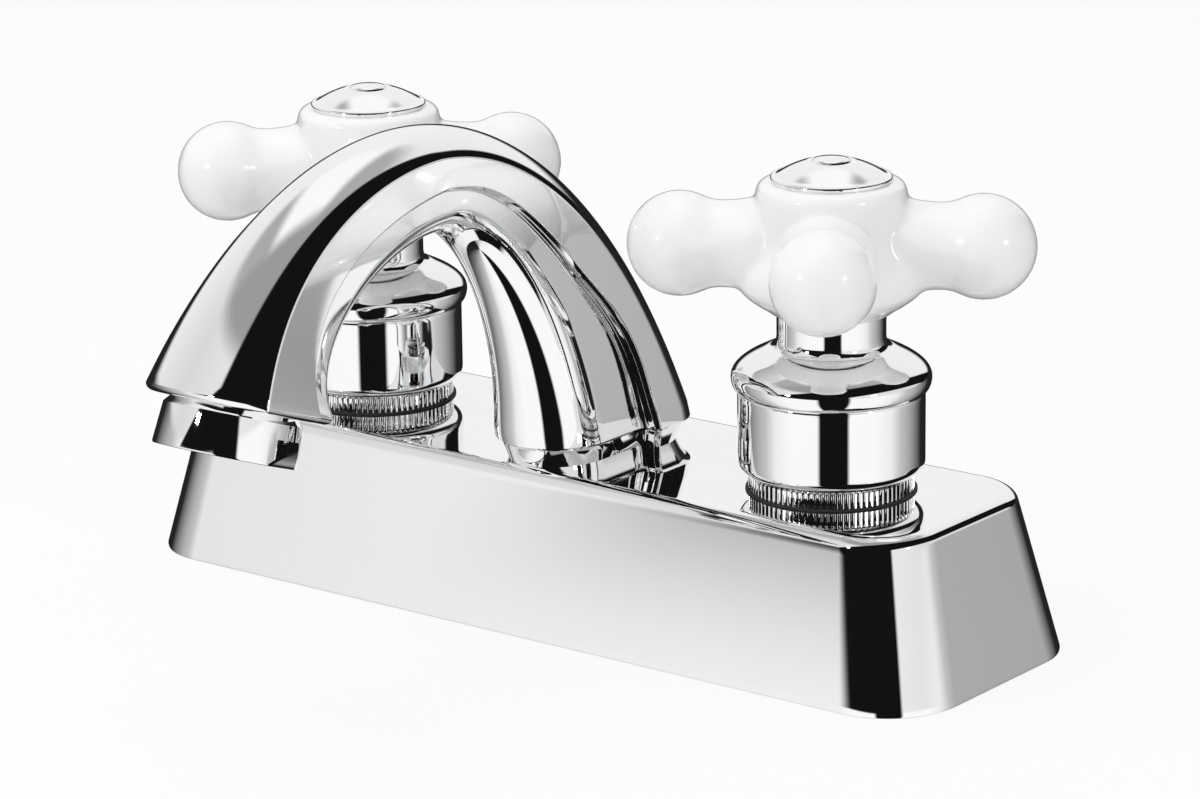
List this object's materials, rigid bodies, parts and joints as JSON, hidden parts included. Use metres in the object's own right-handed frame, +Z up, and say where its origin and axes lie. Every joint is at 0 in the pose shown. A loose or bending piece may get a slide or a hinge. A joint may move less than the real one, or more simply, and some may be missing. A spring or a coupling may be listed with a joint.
{
  "type": "basin mixer tap",
  "caption": "Centreset basin mixer tap: tapered base block, arched fixed spout with aerator, belled valves and turning porcelain cross handles.",
  "frame": {"origin": "centre of the base's underside, on the plane of the deck that it stands on", "axes": "+X along the base to the cold side, the spout reaches towards -Y, +Z up"},
  "size_m": [0.1718, 0.139, 0.0943],
  "materials": {
    "chrome": "polished plating",
    "porcelain": "white glaze",
    "brass": "machined",
    "steel": "satin",
    "rubber": "matte",
    "plastic": "moulded",
    "fibre": "matte",
    "disc_ceramic": "ground flat"
  },
  "bodies": {
    "tap_body": {"base_shell": "chrome", "base_gasket": "rubber", "waterway": "brass", "spout": "chrome", "spout_shank": "brass", "spout_nut": "brass", "spout_washer": "steel", "spout_seal": "rubber", "aerator_housing": "chrome", "aerator_insert": "plastic", "aerator_screen": "steel", "aerator_washer": "rubber", "hot_knurled_nut": "chrome", "hot_bell": "chrome", "hot_headwork": "brass", "hot_headwork_washer": "fibre", "hot_seat_seal": "rubber", "hot_fixed_disc": "disc_ceramic", "cold_knurled_nut": "chrome", "cold_bell": "chrome", "cold_headwork": "brass", "cold_headwork_washer": "fibre", "cold_seat_seal": "rubber", "cold_fixed_disc": "disc_ceramic"},
    "hot_control": {"hot_handle": "porcelain", "hot_handle_insert": "brass", "hot_handle_screw": "steel", "hot_cap": "chrome", "hot_spindle": "brass", "hot_spindle_seals": "rubber", "hot_spindle_clip": "steel", "hot_turning_disc": "disc_ceramic"},
    "cold_control": {"cold_handle": "porcelain", "cold_handle_insert": "brass", "cold_handle_screw": "steel", "cold_cap": "chrome", "cold_spindle": "brass", "cold_spindle_seals": "rubber", "cold_spindle_clip": "steel", "cold_turning_disc": "disc_ceramic"}
  },
  "joints": [
    {"name": "hot_turn", "type": "hinge", "parent": "tap_body", "child": "hot_control", "pos_m": [-0.0508, 0, 0.07], "axis": [0, 0, 1], "range_deg": [0, 90]},
    {"name": "cold_turn", "type": "hinge", "parent": "tap_body", "child": "cold_control", "pos_m": [0.0508, 0, 0.07], "axis": [0, 0, 1], "range_deg": [-90, 0]}
  ]
}
